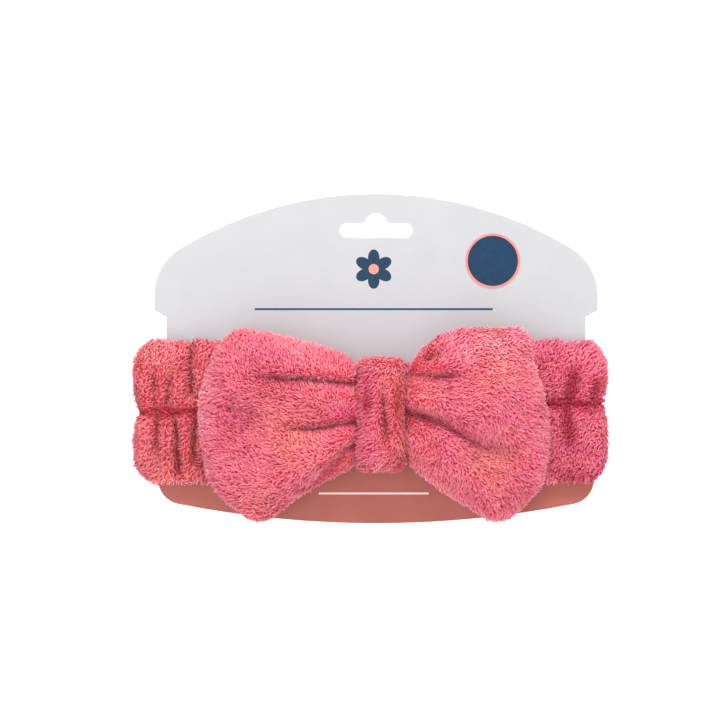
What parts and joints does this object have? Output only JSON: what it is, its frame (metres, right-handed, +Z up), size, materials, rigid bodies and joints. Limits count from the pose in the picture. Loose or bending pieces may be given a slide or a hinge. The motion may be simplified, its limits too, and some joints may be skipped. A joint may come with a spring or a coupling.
{
  "type": "spa headband",
  "caption": "Plush fleece spa headband with a soft bow gathered by a knot, stretched round a hanging display card with a euro slot.",
  "frame": {"origin": "top of the card's hang slot, where the peg bears, on the card's mid-plane", "axes": "+X to the right seen from the front, -Y out of the front towards the viewer, +Z up"},
  "size_m": [0.2078, 0.0377, 0.1438],
  "materials": {
    "fleece": "plush coral fleece",
    "fleece_lining": "plush coral fleece",
    "thread": "polyester thread",
    "elastic": "woven elastic",
    "card": "coated board",
    "sticker": "gloss label"
  },
  "bodies": {
    "display_card": {"backing_card": "card", "price_sticker": "sticker"},
    "headband": {"band_outer_fleece": "fleece", "band_lining_fleece": "fleece_lining", "elastic_band": "elastic", "upper_edge_seam": "thread", "lower_edge_seam": "thread", "centre_stitch": "thread", "closing_seam": "thread", "bow_waist": "fleece_lining", "knot_wrap": "fleece", "knot_tack": "thread"},
    "left_lobe": {"left_lobe_front": "fleece", "left_lobe_back": "fleece_lining", "left_lobe_seam": "thread"},
    "right_lobe": {"right_lobe_front": "fleece", "right_lobe_back": "fleece_lining", "right_lobe_seam": "thread"}
  },
  "joints": [
    {"name": "headband_slide", "type": "slide", "parent": "display_card", "child": "headband", "axis": [0, 0, -1], "range_m": [0, 0.095]},
    {"name": "left_lobe_flex", "type": "hinge", "parent": "headband", "child": "left_lobe", "pos_m": [-0.0121, -0.02, -0.09], "axis": [0, 0, 1], "range_deg": [0, 30], "stiffness_Nm_per_rad": 0.02},
    {"name": "right_lobe_flex", "type": "hinge", "parent": "headband", "child": "right_lobe", "pos_m": [0.0161, -0.02, -0.09], "axis": [0, 0, -1], "range_deg": [0, 30], "stiffness_Nm_per_rad": 0.02}
  ]
}
